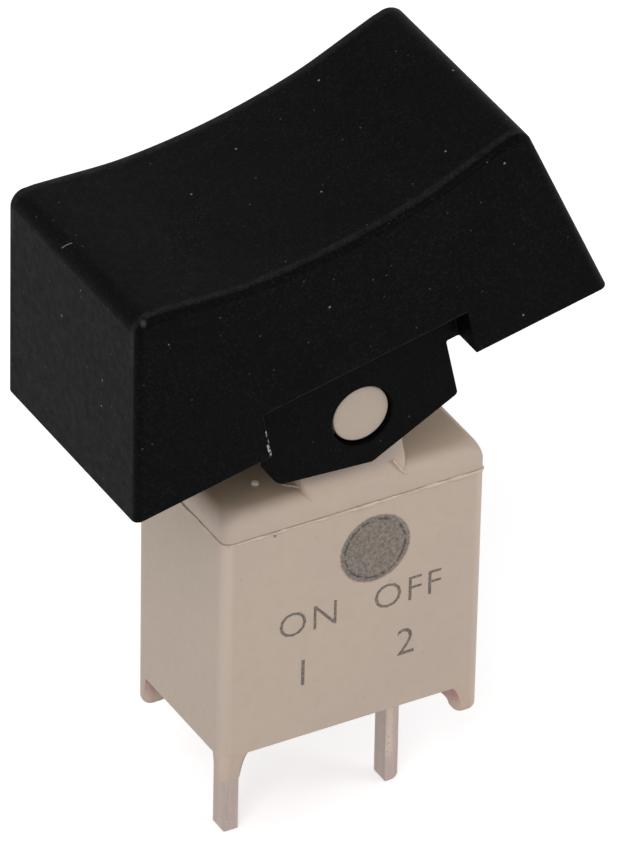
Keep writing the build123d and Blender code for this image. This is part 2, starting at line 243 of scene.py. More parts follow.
class Recipe:
    """Node material that is built one node at a time, with a pattern space in millimetres."""

    def __init__(self, name):
        self.material = bpy.data.materials.new(name)
        self.material.use_nodes = True
        self.tree = self.material.node_tree
        self.shader = self.tree.nodes["Principled BSDF"]
        where = self.add("ShaderNodeTexCoord")
        scale = self.add("ShaderNodeMapping", Scale=(1000, 1000, 1000))
        self.link(where.outputs["Object"], scale.inputs["Vector"])
        self.space = scale.outputs["Vector"]

    def add(self, kind, **settings):
        """New node in this material."""
        return tree_node(self.tree, kind, **settings)

    def link(self, source, target):
        """Input that takes another node's output, a number or a tuple of numbers."""
        if isinstance(source, (int, float, tuple)):
            target.default_value = source
        else:
            self.tree.links.new(source, target)

    def noise(self, scale, detail, rough, space=None, seed=0.0):
        """Cloudy pattern, 0 to 1."""
        node = self.add("ShaderNodeTexNoise", noise_dimensions="4D", Scale=scale, Detail=detail,
                        Roughness=rough, W=seed)
        self.link(space or self.space, node.inputs["Vector"])
        return node.outputs["Fac"]

    def stretched(self, scale):
        """Pattern space with its own scale on each axis."""
        node = self.add("ShaderNodeMapping", Scale=scale)
        self.link(self.space, node.inputs["Vector"])
        return node.outputs["Vector"]

    def math(self, operation, a, b=0.0, c=None):
        """One sum on one to three values."""
        node = self.add("ShaderNodeMath", operation=operation)
        self.link(a, node.inputs[0])
        self.link(b, node.inputs[1])
        if c is not None:
            self.link(c, node.inputs[2])
        return node.outputs[0]

    def product(self, first, *others):
        """All values multiplied, such as masks that have to meet."""
        for other in others:
            first = self.math("MULTIPLY", first, other)
        return first

    def off_spot(self, a, at_a, b, at_b):
        """Distance from a spot, measured in the plane of two axes."""
        squares = [self.math("POWER", self.math("SUBTRACT", along, spot), 2.0)
                   for along, spot in ((a, at_a), (b, at_b))]
        return self.math("SQRT", self.math("ADD", *squares))

    def ramp(self, value, low, high, to_low=0.0, to_high=1.0):
        """Soft step from one value to another."""
        node = self.add("ShaderNodeMapRange", interpolation_type="SMOOTHSTEP", From_Min=low, From_Max=high,
                        To_Min=to_low, To_Max=to_high)
        self.link(value, node.inputs["Value"])
        return node.outputs["Result"]

    def mix(self, amount, a, b):
        """Blend of two colours, each a node's output or red, green and blue."""
        node = self.add("ShaderNodeMix", data_type="RGBA")
        self.link(amount, node.inputs[0])
        for source, target in ((a, node.inputs[6]), (b, node.inputs[7])):
            self.link((*source, 1) if isinstance(source, tuple) else source, target)
        return node.outputs[2]

    def laid(self, tint, colour, strength, *masks):
        """Tint with a colour laid over it where all masks meet."""
        return self.mix(self.product(*masks, strength), tint, colour)

    def axes(self, space=None):
        """X, Y and Z of a pattern space."""
        node = self.add("ShaderNodeSeparateXYZ")
        self.link(space or self.space, node.inputs[0])
        return node.outputs

    def specks(self, scale, size, share, seed):
        """Small round specks, 0 to 1: share is how many of the cells hold one."""
        cell = self.add("ShaderNodeTexVoronoi", Scale=scale)
        moved = self.add("ShaderNodeMapping", Location=(seed, 1.7 * seed, 2.3 * seed))
        self.link(self.space, moved.inputs["Vector"])
        self.link(moved.outputs["Vector"], cell.inputs["Vector"])
        chance = self.add("ShaderNodeSeparateColor")
        self.link(cell.outputs["Color"], chance.inputs[0])
        near = self.ramp(cell.outputs["Distance"], size * 0.5, size, 1.0, 0.0)
        return self.product(near, self.math("LESS_THAN", chance.outputs[0], share))

    def bump(self, height, strength, distance, below=None):
        """Surface relief, on top of another one if that is given; distance in metres."""
        node = self.add("ShaderNodeBump", Strength=strength, Distance=distance)
        self.link(height, node.inputs["Height"])
        if below is not None:
            self.link(below, node.inputs["Normal"])
        return node.outputs["Normal"]

    def surface(self, colour, rough, normal=None, metallic=0.0, specular=0.5):
        """The finished patterns handed to the shader."""
        self.link(colour, self.shader.inputs["Base Color"])
        self.link(rough, self.shader.inputs["Roughness"])
        if normal is not None:
            self.link(normal, self.shader.inputs["Normal"])
        self.shader.inputs["Metallic"].default_value = metallic
        self.shader.inputs["Specular IOR Level"].default_value = specular


def cream_plastic(name, marks_and_light):
    """Cream thermoset: satin, faintly clouded, with dark and pale specks and a fine moulded grain."""
    plastic = Recipe(name)
    clouds = plastic.noise(0.35, 3.0, 0.5, seed=1.3)
    mottle = plastic.noise(3.2, 5.0, 0.6, seed=4.0)
    tint = plastic.mix(plastic.ramp(clouds, 0.3, 0.7), (0.516, 0.414, 0.335), (0.492, 0.397, 0.331))
    tint = plastic.mix(plastic.ramp(mottle, 0.35, 0.75, 0.0, 0.5), tint, (0.466, 0.368, 0.294))
    tint = plastic.laid(tint, (0.22, 0.16, 0.12), 0.35, plastic.specks(2.6, 0.10, 0.22, 2.0))
    tint = plastic.laid(tint, (0.62, 0.55, 0.48), 0.35, plastic.specks(3.4, 0.12, 0.14, 7.0))
    sheen = plastic.ramp(plastic.noise(5.0, 4.0, 0.6, seed=9.0), 0.2, 0.8, 0.42, 0.56)
    skin = plastic.bump(plastic.noise(14.0, 4.0, 0.6, seed=3.0), 0.10, 0.00001)
    wave = plastic.bump(plastic.noise(1.1, 2.0, 0.5, seed=6.0), 0.25, 0.00004, skin)
    plastic.surface(marks_and_light(plastic, tint), sheen, wave, specular=0.35)
    return plastic.material


def ink_dot(plastic, tint, front):
    """Round dot of worn grey ink on the front wall, with a darker broken line just inside its edge."""
    x, _, z = plastic.axes()
    crumble = plastic.product(plastic.noise(9.0, 3.0, 0.6, seed=5.0), 0.10)
    ragged = plastic.math("ADD", plastic.off_spot(x, dot_x, z, dot_z), crumble)
    inside = plastic.product(plastic.ramp(ragged, dot_core, dot_edge, 1.0, 0.0), front)
    dashes = plastic.ramp(plastic.noise(5.0, 2.0, 0.6, seed=6.5), 0.40, 0.52)
    line = plastic.product(plastic.math("COMPARE", ragged, dot_line, 0.032), dashes)
    grain = plastic.ramp(plastic.noise(11.0, 4.0, 0.75, seed=8.0), 0.36, 0.62, 0.62, 1.0)
    tint = plastic.laid(tint, (0.112, 0.096, 0.084), 0.96, inside, grain)
    return plastic.laid(tint, (0.045, 0.036, 0.032), 0.85, inside, line)


def resin_red_and_shade(plastic, tint, wide, deep, high):
    """Red of the resin on the inner sides of the feet, with painted shade that deepens it toward their roots,
    and a faint reddish tint that grows toward the bottom of the walls.
    """
    behind = plastic.product(plastic.math("LESS_THAN", wide, half_x - 0.035),
                             plastic.math("LESS_THAN", deep, half_y - 0.035))
    inward = plastic.math("MAXIMUM", plastic.math("LESS_THAN", wide, half_x - 0.30),
                          plastic.math("LESS_THAN", deep, half_y - 0.30))
    under = plastic.math("LESS_THAN", high, floor_low + 0.1)
    # Partly the resin's red, partly painted shade: the red on the inner sides of the feet deepens toward
    # their roots.
    red_and_shade = plastic.product(plastic.ramp(high, 0.20, 0.85), plastic.product(behind, inward), under)
    patchy = plastic.ramp(plastic.noise(2.2, 3.0, 0.6, seed=2.5), 0.25, 0.60, 0.45, 1.0)
    tint = plastic.laid(tint, (0.30, 0.095, 0.10), 0.85, red_and_shade, patchy)
    # A faint reddish tint that grows toward the bottom of the walls.
    low = plastic.ramp(high, 0.10, 1.3, 1.0, 0.0)
    return plastic.laid(tint, (0.42, 0.25, 0.20), 0.22, low, plastic.noise(1.5, 3.0, 0.6, seed=2.5))


def case_marks_and_light(plastic, tint):
    """What only the case has: ink dot, a painted highlight down the upright corners, painted shade in one pit
    by the joint, and the resin's red with painted shade near the feet's roots.
    """
    x, y, z = plastic.axes()
    front = plastic.math("LESS_THAN", y, -half_y + 0.25)
    tint = ink_dot(plastic, tint, front)
    wide, deep = plastic.math("ABSOLUTE", x), plastic.math("ABSOLUTE", y)
    # Painted highlight: paler colour down the four upright corners of the case.
    tint = plastic.laid(tint, (0.590, 0.480, 0.400), 0.75, plastic.ramp(wide, half_x - 0.385, half_x - 0.105),
                        plastic.ramp(deep, half_y - 0.415, half_y - 0.095))
    # Painted shade: a small dark spot stands for the shade inside a pit by the joint.
    pit_shade = plastic.ramp(plastic.off_spot(x, pit_x, z, pit_z), pit_core, pit_edge, 1.0, 0.0)
    tint = plastic.laid(tint, (0.09, 0.06, 0.045), 0.8, pit_shade, front)
    return resin_red_and_shade(plastic, tint, wide, deep, z)


case_plastic = cream_plastic("cream_case_plastic", case_marks_and_light)
low_x, low_y = half_x - case_top * case_draft, half_y - case_top * case_draft
rings = []
for z in (foot_height, 3.0, 6.0, case_top - 0.05):
    rings.append(rounded_ring(low_x + z * case_draft, low_y + z * case_draft, corner_round, z))
rings.append(rounded_ring(half_x - 0.03, half_y - 0.03, corner_round - 0.02, case_top))
case = loft("case_body", rings)
recess = block("recess", -half_x + base_rim, half_x - base_rim, -half_y + base_rim, half_y - base_rim,
               0, floor_low)
room = block("room", -half_x + wall, half_x - wall, -half_y + wall, half_y - wall, floor_high, case_top + 1)
slots = [block("slot", x - pin_x / 2 - slot_gap, x + pin_x / 2 + slot_gap + left_pin_extra,
               -pin_y / 2 - slot_gap, pin_y / 2 + slot_gap, floor_low - 1, floor_high + 1)
         for x in (pin_left, pin_right)]
joined(case, [recess, room] + slots, "DIFFERENCE")
eased(case, 0.03, 2)
gap_x, gap_y = low_x - foot_x, low_y - foot_y


def flare(z, start, reach, power):
    """How far a foot spreads at one height, from a start level up to the floor."""
    rise = max(z - start, 0.0) / (foot_height - start)
    return reach * min(rise, 1.25) ** power


def foot_ring(z):
    """Outline of the right rear foot at one height: round at the tip, hollow where it meets the walls."""
    tip = foot_tip_round * (1 - math.sqrt(1 - (1 - min(z / foot_tip_round, 1.0))**2))
    edge = flare(z, foot_root_start, foot_root, foot_root_power)
    inner = flare(z, foot_spread_start, foot_spread, foot_spread_power)
    out_x, out_y = low_x + z * case_draft - tip - 0.001, low_y + z * case_draft - tip - 0.001
    points = [(out_x, out_y), (gap_x - edge + tip, out_y),
              (gap_x - inner + tip, gap_y - inner * foot_spread_share + tip),
              (out_x, gap_y - edge * foot_root_share + tip)]
    span = out_y - gap_y - tip
    side_round = min(foot_side_round, 0.44 * span)
    radii = [min(corner_round, 0.5 * span), side_round, min(foot_inner_round, 0.3 * span), side_round]
    return soft_outline(points, radii, 6)


foot_levels = [foot_tip_round * (1 - math.cos(math.radians(15 * k))) for k in range(7)]
foot_levels += [0.32, 0.40, 0.48, 0.56, 0.64, 0.72, 0.79, 0.85, 0.90, foot_height, 1.0, 1.1]
for side_x in (-1, 1):
    for side_y in (-1, 1):
        rings = []
        for z in foot_levels:
            ring = foot_ring(z)
            if side_x * side_y < 0:
                ring.reverse()
            rings.append([(side_x * x, side_y * y, z) for x, y in ring])
        joined(case, [loft("foot", rings)], "UNION")
ledge = block("ledge", -half_x + wall - 0.1, ledge_end, -ledge_half, ledge_half, floor_high - 0.1, ledge_top)
joined(case, [ledge], "UNION")
finished(case, case_plastic)
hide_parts("case")
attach(case, "housing")

# --- casting resin ---
# Thin layer of reddish resin poured into the recess under the floor, round both terminals. It stays
# a little below the rim, glossy and slightly uneven.
resin = Recipe("red_brown_resin")
depth = resin.ramp(resin.noise(1.4, 4.0, 0.55, seed=2.0), 0.3, 0.7)
resin.surface(resin.mix(depth, (0.20, 0.045, 0.035), (0.31, 0.09, 0.065)),
              resin.ramp(resin.noise(3.0, 3.0, 0.5, seed=4.0), 0.3, 0.7, 0.12, 0.30),
              resin.bump(resin.noise(1.8, 3.0, 0.5, seed=7.0), 0.5, 0.00006))


def coated(name, material):
    """Solid that keeps its own shape and only gets a finish."""
    nodes[name].data.materials.clear()
    nodes[name].data.materials.append(material)


coated("terminal_seal", resin.material)

# --- terminals ---
# Two pins sheared from 0.41 mm copper alloy strip and dull tinned. Both are bent over inside the case:
# the left one runs along the floor to the cradle that carries the blade, the right one ends in a head.
pin_tip = -3.26
tip_sharp, tip_roll = 0.05, 0.22
strip_high = floor_high + pin_x
strip_half = 0.80
bend_round = 0.28
fulcrum_high, fulcrum_radius = 3.22, pin_x / 2
cradle_half, cradle_slot, cradle_top = 1.30, 0.93, 3.97
head_reach = 0.89


def dull_tin():
    """Dull tin, brushed along the pins, with a bright sheared band on the front of the right pin."""
    tin = Recipe("dull_tin")
    brushed = tin.noise(1.0, 5.0, 0.65, space=tin.stretched((7.0, 5.0, 0.8)), seed=1.0)
    grains = tin.noise(7.0, 4.0, 0.7, seed=3.0)
    tint = tin.mix(tin.ramp(brushed, 0.3, 0.7), (0.425, 0.345, 0.312), (0.49, 0.405, 0.365))
    x, y, z = tin.axes()
    sheared = tin.product(tin.ramp(x, pin_right - 0.04, pin_right + 0.06, 1.0, 0.0),
                          tin.math("LESS_THAN", y, 0.03 - pin_y / 2),
                          tin.math("GREATER_THAN", x, pin_right - 0.54),
                          tin.ramp(z, pin_tip + 0.66, pin_tip + 1.06))
    tint = tin.laid(tint, (0.62, 0.52, 0.43), 0.65, sheared)
    tint = tin.laid(tint, (0.26, 0.20, 0.15), 0.55, tin.specks(8.0, 0.34, 0.60, 6.0), sheared)
    tint = tin.mix(tin.ramp(grains, 0.52, 0.72, 0.0, 0.4), tint, (0.58, 0.50, 0.455))
    tint = tin.laid(tint, (0.22, 0.17, 0.14), 0.55, tin.specks(7.0, 0.16, 0.20, 4.0))
    tint = tin.laid(tint, (0.85, 0.80, 0.75), 0.7, tin.specks(9.0, 0.15, 0.16, 9.0))
    fine = tin.bump(brushed, 0.35, 0.00002)
    tin.surface(tint, tin.ramp(grains, 0.3, 0.7, 0.42, 0.58), tin.bump(grains, 0.30, 0.00002, fine),
                metallic=0.55)
    return tin.material


def pin_outline(x, roll, spread=0.0):
    """Straight part of a terminal seen from the front: tip rolled over on one side by the shear."""
    left, right = x - pin_x / 2, x + pin_x / 2 + spread
    tip = arc(left + tip_sharp, pin_tip + tip_sharp, tip_sharp, 180, 270, 5)
    tip += arc(right - roll, pin_tip + roll, roll, 270, 360, 8)
    return [(left, strip_high)] + tip + [(right, strip_high)]


def bend(name, x, side):
    """Outside of a bend, as the wedge that it leaves off."""
    edge = x + side * pin_x / 2
    curve = arc(edge - side * bend_round, strip_high - bend_round, bend_round, 0 if side > 0 else 180, 90, 7)
    return prism(name, curve + [(edge + side, strip_high + 1)], -2, 2)


tin = dull_tin()
common = prism("terminal_left", pin_outline(pin_left, tip_sharp, left_pin_extra), -pin_y / 2, pin_y / 2)
strip = block("strip", pin_left - pin_x / 2, fulcrum_radius, -strip_half, strip_half, floor_high, strip_high)
tab = block("tab", -fulcrum_radius, fulcrum_radius, -cradle_half, cradle_half, floor_high, cradle_top)
seat_line = arc(0, fulcrum_high, fulcrum_radius, 0, 180, 12)
seat_line += [(-1, fulcrum_high), (-1, cradle_top + 1), (1, cradle_top + 1), (1, fulcrum_high)]
seat = prism("seat", seat_line, -cradle_slot, cradle_slot)
joined(common, [strip, tab], "UNION")
joined(common, [bend("bend", pin_left, -1), seat], "DIFFERENCE")
eased(common, 0.035, 3)
finished(common, tin)
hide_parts("terminal_common")
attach(common, "housing")

switched = prism("terminal_right", pin_outline(pin_right, tip_roll), -pin_y / 2, pin_y / 2)
head = block("head", pin_right - head_reach, pin_right + pin_x / 2, -strip_half, strip_half,
             floor_high, strip_high)
joined(switched, [head], "UNION")
joined(switched, [bend("bend", pin_right, 1)], "DIFFERENCE")
eased(switched, 0.035, 3)
finished(switched, tin)
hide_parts("terminal_switched")
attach(switched, "housing")

# --- blade and contacts ---
# Silver plated strip that rocks on the cradle, with a domed rivet near one end that meets the flat
# contact on the right terminal. They keep the shapes of the solids and get worn plated metal.
plate = Recipe("silver_plated_strip")
tarnish = plate.ramp(plate.noise(1.6, 5.0, 0.6, seed=2.0), 0.35, 0.75)
lines = plate.noise(9.0, 3.0, 0.6, space=plate.stretched((1.0, 9.0, 9.0)))
plate.surface(plate.mix(tarnish, (0.74, 0.68, 0.58), (0.48, 0.38, 0.27)),
              plate.ramp(lines, 0.3, 0.7, 0.22, 0.40), metallic=1.0)
coated("contact_blade", plate.material)
silver = Recipe("contact_silver")
pits = silver.noise(11.0, 4.0, 0.6, seed=5.0)
silver.surface(silver.mix(silver.ramp(pits, 0.5, 0.7), (0.86, 0.85, 0.82), (0.55, 0.52, 0.47)),
               silver.ramp(pits, 0.3, 0.7, 0.18, 0.38), silver.bump(pits, 0.3, 0.00001), metallic=1.0)
coated("moving_contact", silver.material)
coated("fixed_contact", silver.material)

# --- cover ---
# Lid of the same cream thermoset, welded to the case. In one moulding with it stand two cheeks that
# carry the round pivot bosses; each cheek's foot slopes outward until it is flush with the case wall and
# runs out in a low ramp to the left.
cover_top = 8.88
cover_round, cover_end_round, cover_corner_more = 0.50, 0.34, 0.22
plate_draw = 0.035
pivot_high = 11.20
cheek_half, cheek_low, cheek_outer, cheek_inner = 1.50, 8.60, 2.00, 1.10
foot_left, foot_right, foot_plan_round = 1.52, 1.68, 0.40
foot_low, foot_high = 8.20, 9.60
foot_slope = ((0.002, foot_low), (0.002, 8.50), (0.012, 8.62), (0.035, 8.74), (0.075, 8.86), (0.14, 8.97),
              (0.23, 9.09), (0.33, 9.21), (0.41, 9.34), (0.45, 9.46))  # in from the case wall, height
run_out, run_out_right, run_out_back, run_out_front = 0.60, -1.38, 1.20, 1.99
run_out_knee, run_out_top, run_out_top_reach, run_out_draw = 8.85, 9.00, 0.20, 0.30
boss_radius, boss_end, boss_shift = 0.85, 2.55, 0.03
opening_half, opening_low = 1.685, 7.0
pip_x, pip_y, pip_radius, pip_high = -2.45, -1.22, 0.10, 0.09
spigot_low, spigot_inset = 7.55, 0.65


def cover_marks_and_light(plastic, tint):
    """What only the cover has: painted shade that makes the top of the plate darker and warmer under the
    rocker, a pip painted pale as a highlight, and painted shade that makes the cheeks greyer toward the
    rocker.
    """
    x, y, z = plastic.axes()
    # Painted shade: the top of the plate darker and warmer, most of all under the rocker.
    flat = plastic.product(plastic.ramp(z, cover_top - 0.14, cover_top),
                           plastic.math("LESS_THAN", z, cover_top + 0.02),
                           plastic.ramp(plastic.math("ABSOLUTE", y), 1.75, 2.15, 1.0, 0.35))
    tint = plastic.laid(tint, (0.50, 0.372, 0.268), 0.9, flat)
    # Painted highlight: the top of the pip painted pale.
    pip = plastic.ramp(plastic.off_spot(x, pip_x, y, pip_y), pip_radius - 0.03, pip_radius + 0.07, 1.0, 0.0)
    wear_and_highlight = plastic.product(pip, plastic.math("GREATER_THAN", z, cover_top + 0.01))
    tint = plastic.mix(wear_and_highlight, tint, (0.86, 0.76, 0.64))
    # Painted shade: the cheeks darker and greyer as they rise toward the rocker.
    return plastic.laid(tint, (0.462, 0.378, 0.310), 0.8, plastic.ramp(z, 9.0, 10.2))


def circle(radius, count, centre_u=0.0, centre_v=0.0):
    """Points round a full circle."""
    turns = [2 * math.pi * k / count for k in range(count)]
    return [(centre_u + radius * math.cos(a), centre_v + radius * math.sin(a)) for a in turns]


cover_plastic = cream_plastic("cream_cover_plastic", cover_marks_and_light)
rings = [rounded_ring(half_x - plate_draw, half_y - plate_draw, corner_round, case_top),
         rounded_ring(half_x, half_y, corner_round, case_top + 0.05)]
for k in range(11):
    a = math.radians(90 * k / 10)
    inset = 1 - math.cos(a)
    rings.append(rounded_ring(half_x - cover_end_round * inset, half_y - cover_round * inset,
                              corner_round + cover_corner_more * math.sin(a),
                              cover_top - cover_round + cover_round * math.sin(a)))
cover = loft("cover_body", rings)
spigot = block("spigot", spigot_inset - half_x, half_x - spigot_inset,
               spigot_inset - half_y, half_y - spigot_inset, spigot_low, case_top + 0.1)
joined(cover, [spigot], "UNION")
for side in (-1, 1):
    web = [(side * (half_y - inward), z) for inward, z in foot_slope]
    web += [(side * cheek_outer, foot_high), (side * cheek_inner, foot_high), (side * cheek_inner, foot_low)]
    foot = prism("cheek_foot", web, -foot_left, foot_right, "X")
    plan = soft_outline([(-foot_left, side * 0.9), (foot_right, side * 0.9), (foot_right, side * half_y),
                         (-foot_left, side * half_y)], (0, 0, foot_plan_round, foot_plan_round))
    column = loft("foot_plan", [[(x, y, z) for x, y in plan] for z in (foot_low - 0.1, foot_high + 0.3)])
    joined(foot, [column], "INTERSECT")
    eased(foot, 0.07, 4, 50)
    outline = [(-cheek_half, cheek_low), (cheek_half, cheek_low)] + arc(0, pivot_high, cheek_half, 0, 180, 40)
    cheek = prism("cheek", outline, side * cheek_inner, side * cheek_outer)
    eased(cheek, 0.10, 4, 60)
    boss_line = [(boss_radius, cheek_outer - 0.2), (boss_radius, boss_end - 0.05),
                 (boss_radius - 0.015, boss_end - 0.018), (boss_radius - 0.05, boss_end)]
    boss = loft("boss", [[(x, side * y, z) for x, z in circle(r, 64, boss_shift, pivot_high)]
                         for r, y in boss_line])
    joined(cover, [foot, cheek, boss], "UNION")
    rings = []
    for z, reach, draw in ((cheek_low, run_out, 0), (run_out_knee, run_out, 0),
                           (run_out_top, run_out_top_reach, run_out_draw)):
        ring = [(-foot_left - reach, run_out_back), (run_out_right, run_out_back),
                (run_out_right, run_out_front - draw), (-foot_left, run_out_front - 0.12 - draw)]
        rings.append([(x, side * y, z) for x, y in (ring if side > 0 else ring[::-1])])
    joined(cover, [loft("run_out", rings)], "UNION")
opening = block("opening", -opening_half, opening_half, -cheek_inner, cheek_inner,
                opening_low, foot_high + 0.2)
joined(cover, [opening], "DIFFERENCE")
pip_line = [(pip_radius * 1.2, cover_top - 0.05), (pip_radius * 1.05, cover_top + 0.02),
            (pip_radius, cover_top + 0.06), (pip_radius * 0.8, cover_top + pip_high - 0.015),
            (pip_radius * 0.4, cover_top + pip_high)]
pip = loft("pip", [[(x, y, z) for x, y in circle(r, 24, pip_x, pip_y)] for r, z in pip_line])
joined(cover, [pip], "UNION")
finished(cover, cover_plastic, 36)
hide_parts("cover")
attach(cover, "housing")

# --- weld bead ---
# Thin line of plastic squeezed out where the cover was welded to the case. It wanders along the joint
# and swells into small lumps. Two short lines of flash at the ends of the front cheek's foot go with it.
bead_inset, bead_below = 0.006, 0.036
flash_lines = (((-1.90, -1.50, 8.85), (-1.66, -1.74, 8.88), (-1.50, -1.90, 8.89), (-1.34, -2.08, 8.91),
                (-1.25, -2.20, 8.90), (-1.24, -2.29, 8.84), (-1.34, -2.35, 8.75)),
               ((1.24, -2.28, 9.13), (1.33, -2.36, 8.96), (1.42, -2.41, 8.80), (1.56, -2.42, 8.70)))


def growth(name, *numbers):
    """Empty Geometry Nodes tree that takes a shape, named numbers and a material."""
    tree = bpy.data.node_groups.new(name, "GeometryNodeTree")
    kinds = {"Geometry": "NodeSocketGeometry", "Material": "NodeSocketMaterial"}
    for label in ("Geometry", *numbers, "Material"):
        tree.interface.new_socket(label, in_out="INPUT", socket_type=kinds.get(label, "NodeSocketFloat"))
    tree.interface.new_socket("Geometry", in_out="OUTPUT", socket_type="NodeSocketGeometry")
    return tree, tree.nodes.new("NodeGroupInput"), tree.nodes.new("NodeGroupOutput")


def grown(piece, tree, values):
    """Piece after a Geometry Nodes tree has been run on it with the given values."""
    step = piece.modifiers.new("grown", "NODES")
    step.node_group = tree
    for socket in tree.interface.items_tree:
        if socket.in_out == "INPUT" and socket.name in values:
            step[socket.identifier] = values[socket.name]
    return baked(piece)


def wired(tree, pairs):
    """Tree with each output joined to its input."""
    for output, target in pairs:
        tree.links.new(output, target)


def handed_out(tree, swept, source, result):
    """End of a tree: the swept shape made real and given the material that came in."""
    real = tree_node(tree, "GeometryNodeRealizeInstances")
    paint = tree_node(tree, "GeometryNodeSetMaterial")
    wired(tree, (
        (swept.outputs[0], real.inputs[0]), (real.outputs[0], paint.inputs["Geometry"]),
        (source.outputs["Material"], paint.inputs["Material"]), (paint.outputs[0], result.inputs[0])))


bead_tree, source, result = growth("weld_bead", "Step", "Thin", "Thick", "Wander")
line = tree_node(bead_tree, "GeometryNodeMeshToCurve")
spaced = tree_node(bead_tree, "GeometryNodeResampleCurve", mode="LENGTH")
place = tree_node(bead_tree, "GeometryNodeInputPosition")
lumps = tree_node(bead_tree, "ShaderNodeTexNoise", noise_dimensions="4D", W=3.0, Scale=2.2, Detail=4.0,
                  Roughness=0.7)
stray = tree_node(bead_tree, "ShaderNodeTexNoise", noise_dimensions="4D", W=8.0, Scale=1.6)
shift = tree_node(bead_tree, "ShaderNodeVectorMath", operation="SUBTRACT")
shift.inputs[1].default_value = (0.5, 0.5, 0.5)
wander = tree_node(bead_tree, "ShaderNodeVectorMath", operation="SCALE")
moved = tree_node(bead_tree, "GeometryNodeSetPosition")
girth = tree_node(bead_tree, "ShaderNodeMapRange", interpolation_type="SMOOTHSTEP", From_Min=0.44,
                  From_Max=0.74)
ring = tree_node(bead_tree, "GeometryNodeCurvePrimitiveCircle", Resolution=6, Radius=1.0)
swept = tree_node(bead_tree, "GeometryNodeCurveToMesh")
wired(bead_tree, (
    (source.outputs["Geometry"], line.inputs["Mesh"]), (line.outputs[0], spaced.inputs["Curve"]),
    (source.outputs["Step"], spaced.inputs["Length"]), (place.outputs[0], lumps.inputs["Vector"]),
    (place.outputs[0], stray.inputs["Vector"]), (stray.outputs["Color"], shift.inputs[0]),
    (shift.outputs[0], wander.inputs[0]), (source.outputs["Wander"], wander.inputs["Scale"]),
    (spaced.outputs[0], moved.inputs["Geometry"]), (wander.outputs[0], moved.inputs["Offset"]),
    (lumps.outputs["Fac"], girth.inputs["Value"]), (source.outputs["Thin"], girth.inputs["To Min"]),
    (source.outputs["Thick"], girth.inputs["To Max"]), (moved.outputs[0], swept.inputs["Curve"]),
    (ring.outputs["Curve"], swept.inputs["Profile Curve"]), (girth.outputs["Result"], swept.inputs["Scale"])))
handed_out(bead_tree, swept, source, result)
bead_plastic = Recipe("weld_bead_plastic")
cloud = bead_plastic.ramp(bead_plastic.noise(3.0, 3.0, 0.6, seed=2.0), 0.35, 0.65)
bead_plastic.surface(bead_plastic.mix(cloud, (0.61, 0.50, 0.41), (0.51, 0.40, 0.33)),
                     bead_plastic.ramp(bead_plastic.noise(8.0, 2.0, 0.5, seed=4.0), 0.3, 0.7, 0.35, 0.5))
path = rounded_ring(half_x - bead_inset, half_y - bead_inset, corner_round, case_top - bead_below)
links = [(k, (k + 1) % len(path)) for k in range(len(path))]
for flash in flash_lines:
    first = len(path)
    path += flash
    links += [(first + k, first + k + 1) for k in range(len(flash) - 1)]
bead_mesh = bpy.data.meshes.new("weld_bead")
bead_mesh.from_pydata(path, links, [])
bead = grown(new_piece("weld_bead", bead_mesh), bead_tree,
             {"Step": 0.05, "Thin": 0.028, "Thick": 0.082, "Wander": 0.08, "Material": bead_plastic.material})
finished(bead, bead_plastic.material, 60)
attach(bead, "housing")

# --- printed marks ---
# Plain words and numbers in the grey ink of the dot: which end switches on, and the two terminals.
ink = Recipe("grey_ink")
wear_and_highlight = ink.noise(16.0, 3.0, 0.7, seed=3.0)
ink.surface(ink.mix(ink.ramp(wear_and_highlight, 0.42, 0.62), (0.120, 0.104, 0.092), (0.27, 0.225, 0.185)),
            ink.ramp(wear_and_highlight, 0.3, 0.7, 0.55, 0.7), specular=0.2)
word_level, number_level = 4.40, 2.65
word_size, number_size = 0.84, 0.92
letter_size, ink_off = 1.38, 0.003
for text, x, z, height in (("ON", -2.35, word_level, word_size), ("OFF", 0.60, word_level, word_size),
                           ("1", -1.85, number_level, number_size), ("2", 1.35, number_level, number_size)):
    letters = bpy.data.curves.new("mark_" + text, "FONT")
    letters.body = text
    letters.size = height * letter_size
    letters.space_character = 1.12
    letters.offset = -0.012
    letters.resolution_u = 3
    letters.extrude = 0.002
    drawn = new_piece("mark_" + text, letters)
    flat_mesh = bpy.data.meshes.new_from_object(drawn.evaluated_get(bpy.context.evaluated_depsgraph_get()))
    bpy.data.objects.remove(drawn)
    for vertex in flat_mesh.vertices:
        u, v, w = vertex.co
        vertex.co = (x + u, -(low_y + (z + v) * case_draft) - ink_off - w, z + v)
    mark = finished(new_piece("printed_" + text, flat_mesh), ink.material, 30)
    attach(mark, "housing")

# --- rocker ---
# Black matt moulding, hollow from below. Its ends lean in toward a crown that is dished from end to
# end; two ears hang from the inner half of the side walls, and a leg reaches down through the cover.
rocker_tilt = math.radians(-12.4)
rocker_half_y = 3.66
skirt_level, skirt_half = 1.04, 7.39
crown_level, crown_half, crown_dip = 7.40, 6.01, 0.92
crest_round, rim_reach, rim_depth, end_rim_round = 0.50, 0.36, 0.18, 0.24
crest_swell, swell_from, swell_run = 0.055, 2.6, 3.8
side_wall, end_wall = 0.97, 0.95
roof_level = 5.48
ear_half, ear_left_more, ear_thick, ear_apex = 2.85, 0.07, 0.66, -1.64
ear_slope = math.tan(math.radians(15.9))
ear_left_round, ear_apex_round, ear_right_round = 0.46, 0.25, 0.14
ear_root = 4.20
relief_left, relief_right, relief_level = -3.14, 3.23, 2.48
hole_radius = 0.92
leg_half_x, leg_half_y, leg_tip, bore_radius, bore_top = 0.85, 0.95, 5.90, 0.55, 1.60
crown_radius = (crown_half**2 + crown_dip**2) / (2 * crown_dip)
crown_centre = crown_level - crown_dip + crown_radius
